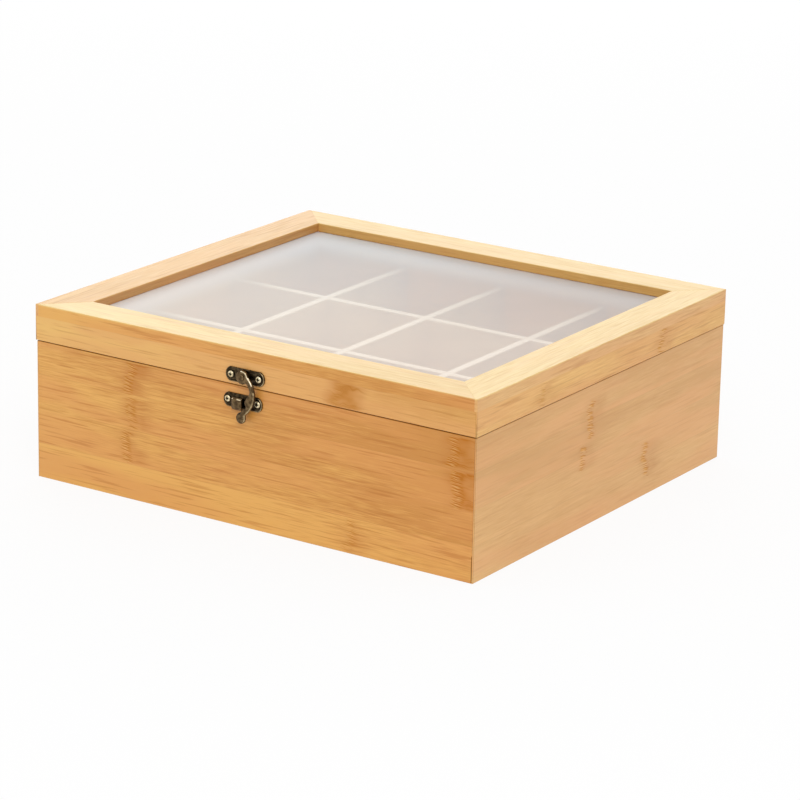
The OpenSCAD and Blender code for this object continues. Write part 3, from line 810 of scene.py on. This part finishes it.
def domed_hook(node, level):
    """The hook as it is cast: domed towards its outline, with a ball at its tip, a painted highlight along
    its outer edge and painted shade on the left of the ball.
    """
    outer, hole = silhouette(node)
    outer, hole = softened(outer, HOOK_STEP, 10), softened(hole, HOOK_STEP, 0)
    tip = Vector((min(outer, key=lambda p: p.y).x, min(p.y for p in outer) + TIP_R))
    spots = hook_points(node, outer)
    ties = [(k - 1 if k else len(outer) - 1, k) for k in range(len(outer))]
    ties += [(len(spots) + (k - 1) % len(hole), len(spots) + k) for k in range(len(hole))]
    spots += hole
    flat, _, faces, _, _, _ = delaunay_2d_cdt(spots, ties, [], 0, 1e-5)

    def flat_face(spot):
        """How far out the flat hook's front is at a place. Its arm leans out below the pivot."""
        return HOOK_OUT + max(0.0, level - spot.y) * math.tan(HOOK_LEAN)

    def height(spot):
        away = nearest(spot, outer)[0]
        ball = max(0.0, 1.0 - (spot - tip).length / (TIP_R * 1.25)) ** 0.5
        reach = 1.5 + 1.2 * ball
        drop = 1.0 - math.sqrt(max(0.0, 1.0 - max(0.0, 1.0 - away / reach) ** 2))
        way = spot - tip
        groove = max(0.0, 1.0 - abs(way.length - 1.75) / 0.4) * (way.x < 1.2 and way.y > -1.6)
        return flat_face(spot) - drop * (HOOK_T - 0.4) - 0.3 * groove

    bm = bmesh.new()
    tops = [bm.verts.new((spot.x, spot.y, height(spot))) for spot in flat]
    backs = {}
    sides = {}
    for face in faces:
        middle = sum((flat[k] for k in face), Vector((0, 0))) / 3
        if not inside(middle, outer) or inside(middle, hole):
            continue
        for k in face:
            if k not in backs:
                backs[k] = bm.verts.new((flat[k].x, flat[k].y, flat_face(flat[k]) - HOOK_T))
        skin = bm.faces.new([tops[k] for k in face])
        skin.material_index = HOOK_FINISHES.index(hook_painted_light(middle, outer, tip, level))
        bm.faces.new([backs[k] for k in reversed(face)])
        for a, b in zip(face, face[1:] + face[:1]):
            sides[a, b] = True
    for a, b in sides:
        if (b, a) not in sides:
            bm.faces.new((tops[a], tops[b], backs[b], backs[a]))
    bmesh.ops.delete(bm, geom=[vert for vert in bm.verts if not vert.link_faces], context="VERTS")
    bmesh.ops.transform(bm, matrix=on_front(0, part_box("latch_plate")[1].y, 0), verts=bm.verts)
    return bm


def screw_head(bm, place):
    """A pan head with a cross recess, in millimetres, its underside at the origin, then placed."""
    def star(size):
        return lambda turn: size * (0.56 + 0.44 * abs(math.cos(2 * turn)) ** 3)

    outer = [(1.2, -0.3), (1.75, 0.0), (HEAD_R, 0.14), (HEAD_R - 0.06, 0.34)]
    outer += [(1.58, 0.6), (1.22, 0.8), (1.12, 0.83)]
    loops = [ring(radius, height) for radius, height in outer]
    loops += [ring(star(size), height) for size, height in ((1.1, 0.8), (0.98, 0.4), (0.7, -0.1))]
    first = len(bm.verts)
    # Slot 1, the cross recess, takes painted shade
    loft(bm, loops, [0] * (len(outer) - 1) + [0, 1, 1])
    bm.verts.ensure_lookup_table()
    bmesh.ops.transform(bm, matrix=place, verts=bm.verts[first:])


def dress_screws(node, places, materials):
    bm = bmesh.new()
    for place in places:
        screw_head(bm, place)
    make_piece(node + "_heads", bm, node, materials)


def dress_latch(finishes):
    """The swing-hook latch in detail. finishes are its materials by name."""
    pivot = Vector([j for j in frame["joints"] if j["name"] == "hook_swing"][0]["pos_m"])
    for node in ("latch_plate", "catch_plate"):
        low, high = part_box(node)
        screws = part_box(node + "_screws")
        place = on_front((low.x + high.x) / 2, high.y, (low.z + high.z) / 2)
        spacing = (screws[1].x - screws[0].x) / MM - 2 * HEAD_R
        bm = bmesh.new()
        stamped_plate(bm, (-spacing / 2, spacing / 2))
        if node == "catch_plate":
            free = (pivot.x - (low.x + high.x) / 2) / MM - TONGUE_SIDE
            add_tongue(bm, free - TONGUE_W, free, (pivot.z - (low.z + high.z) / 2) / MM - TONGUE_DOWN)
            bmesh.ops.transform(bm, matrix=place, verts=bm.verts)
        else:
            bmesh.ops.transform(bm, matrix=place, verts=bm.verts)
            first = len(bm.verts)
            add_boss(bm)
            bm.verts.ensure_lookup_table()
            bmesh.ops.transform(bm, matrix=on_front(pivot.x, high.y, pivot.z), verts=bm.verts[first:])
        materials = [finishes[name] for name in PLATE_FINISHES]
        make_piece(node + "_stamped", bm, node, materials)

    bm = domed_hook("swing_hook", pivot.z / MM)
    materials = [finishes[name] for name in HOOK_FINISHES]
    make_piece("swing_hook_cast", bm, "swing_hook", materials)
    low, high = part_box("latch_rivet")
    bm = bmesh.new()
    depth = (high.y - low.y) / MM
    turned = [(1.0, -depth), (1.0, -0.8), (1.9, -0.8), (1.9, -0.55)]
    turned += [(1.72, -0.28), (1.35, -0.1), (0.85, -0.02), (0.3, 0.0)]
    loft(bm, [ring(radius, height) for radius, height in turned])
    bmesh.ops.transform(bm, matrix=on_front(pivot.x, low.y, pivot.z), verts=bm.verts)
    make_piece("latch_rivet_head", bm, "latch_rivet", [finishes["bronze"]])


def dress_metal():
    """The latch, the hinges and every screw."""
    bronze = metal("antique_bronze", (118, 97, 68), (78, 61, 41), (160, 138, 100), 0.24, 0.2)
    # The plates' dark floor, and painted shade on the left of the hook's ball
    black = metal("black_bronze", (88, 74, 54), (50, 41, 28), (124, 106, 78), 0.28, 0.15)
    # Wear on the hinge leaves' edges, and a painted highlight on the plates' border and the hook's lower
    # right edge
    rubbed_and_highlit = metal("rubbed_and_highlit_bronze", (172, 152, 116), (126, 106, 76), (214, 198, 158), 0.22, 0.3)
    # Painted highlight on the hook's upper outline and the tongue's upper edge
    bright = metal("painted_highlight_bronze", (246, 232, 204), (214, 194, 156), (255, 246, 226), 0.2, 0.3)
    brass = metal("worn_brass", (236, 222, 186), (196, 178, 138), (252, 244, 220), 0.26)
    # Painted shade: the screws' cross recesses, near black
    recess = metal("painted_recess_shade", (44, 36, 26), (24, 19, 13), (90, 76, 56), 0.5)
    leaves = [n for n in NODES if n.endswith("leaf")]
    for node in leaves:
        make_piece(node + "_eased", rounded(node), node, [bronze, rubbed_and_highlit])
    finish_nodes([n for n in NODES if n.endswith("pin")], brass)
    dress_latch({"bronze": bronze, "black": black, "rubbed_and_highlit": rubbed_and_highlit, "bright": bright})
    for node in ("latch_plate_screws", "catch_plate_screws"):
        low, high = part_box(node)
        spots = (low.x + HEAD_R * MM, high.x - HEAD_R * MM)
        level = (low.z + high.z) / 2
        dress_screws(node, [on_front(x, low.y + HEAD_H * MM, level) for x in spots], [brass, recess])
    for node, leaf in (("hinge_body_screws", "body_leaf"), ("hinge_lid_screws", "lid_leaf")):
        low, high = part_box(node)
        places = []
        for side in ("left", "right"):
            middle = sum(corner.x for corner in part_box(f"hinge_{side}_{leaf}")) / 2
            reach = high.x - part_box("hinge_right_" + leaf)[1].x + LEAF_W / 2 * MM - HEAD_R * MM
            for way in (-1, 1):
                places.append(on_back(middle + way * reach, high.y - HEAD_H * MM, (low.z + high.z) / 2))
        dress_screws(node, places, [brass, recess])


def make_floor():
    """A plain white floor. The camera sees it almost shadowless, as in a light tent."""
    bpy.ops.mesh.primitive_plane_add(size=14, location=(0, 0, 0))
    floor = bpy.context.object
    floor.name = "floor"
    material, g, surface = new_material("floor_white")
    matt = g.add("ShaderNodeBsdfDiffuse", {"Color": linear((250, 250, 250))})
    glow = g.add("ShaderNodeEmission", {"Color": (1, 1, 1, 1), "Strength": 1.0})
    rays = g.add("ShaderNodeLightPath").outputs
    seen = g.math("MAXIMUM", rays["Is Camera Ray"], rays["Is Glossy Ray"])
    seen = g.math("MAXIMUM", seen, rays["Is Transmission Ray"])
    share = g.math("MULTIPLY", seen, 0.88)
    mixed = g.add("ShaderNodeMixShader", {0: share, 1: matt.outputs[0], 2: glow.outputs[0]})
    g.put(surface, mixed.outputs[0])
    floor.data.materials.append(material)


def make_world(strength):
    world = bpy.data.worlds.new("studio")
    bpy.context.scene.world = world
    world.use_nodes = True
    g = Graph(world.node_tree)
    rays = g.add("ShaderNodeLightPath").outputs
    seen = g.math("MAXIMUM", rays["Is Camera Ray"], rays["Is Glossy Ray"])
    seen = g.math("MAXIMUM", seen, rays["Is Transmission Ray"])
    level = g.ramp(seen, 0.0, 1.0, strength, 1.0)
    sky = g.add("ShaderNodeBackground", {"Color": (1, 1, 1, 1), "Strength": level})
    g.put(g.add("ShaderNodeOutputWorld").inputs["Surface"], sky.outputs[0])


def make_lamp(name, place, target, size, power):
    lamp = bpy.data.lights.new(name, "AREA")
    lamp.shape = "RECTANGLE"
    lamp.size, lamp.size_y = size
    lamp.energy = power
    ob = bpy.data.objects.new(name, lamp)
    bpy.context.scene.collection.objects.link(ob)
    ob.location = place
    ob.rotation_euler = (Vector(target) - Vector(place)).to_track_quat("-Z", "Y").to_euler()
    ob.visible_camera = False


def make_camera():
    """The photograph's view, from the right and a little above, through a long lens."""
    side, tilt, roll = (math.radians(a) for a in (33.36, 17.52, 1.21))
    target = Vector((25.8, -22.6, 50)) * MM
    distance = 1.9731
    data = bpy.data.cameras.new("camera")
    data.lens = 160.7
    data.sensor_width = 36
    camera = bpy.data.objects.new("camera", data)
    bpy.context.scene.collection.objects.link(camera)
    ahead = Vector((-math.sin(side) * math.cos(tilt), math.cos(side) * math.cos(tilt), -math.sin(tilt)))
    right = Vector((math.cos(side), math.sin(side), 0))
    up = right.cross(ahead)
    turned_right = math.cos(roll) * right + math.sin(roll) * up
    turned_up = math.cos(roll) * up - math.sin(roll) * right
    turn = Matrix((turned_right, turned_up, -ahead)).transposed().to_4x4()
    camera.matrix_world = Matrix.Translation(target - distance * ahead) @ turn
    bpy.context.scene.camera = camera


make_camera()
make_floor()
make_world(0.82)
make_lamp("key", (1.0, -1.3, 1.5), (0, 0, 0.05), (0.7, 0.7), 9)
make_lamp("back_panel", (-1.1, 1.7, 0.75), (0, 0, 0.08), (2.0, 1.0), 6)
dress_boards()
dress_metal()

bpy.context.scene.view_settings.view_transform = "Standard"
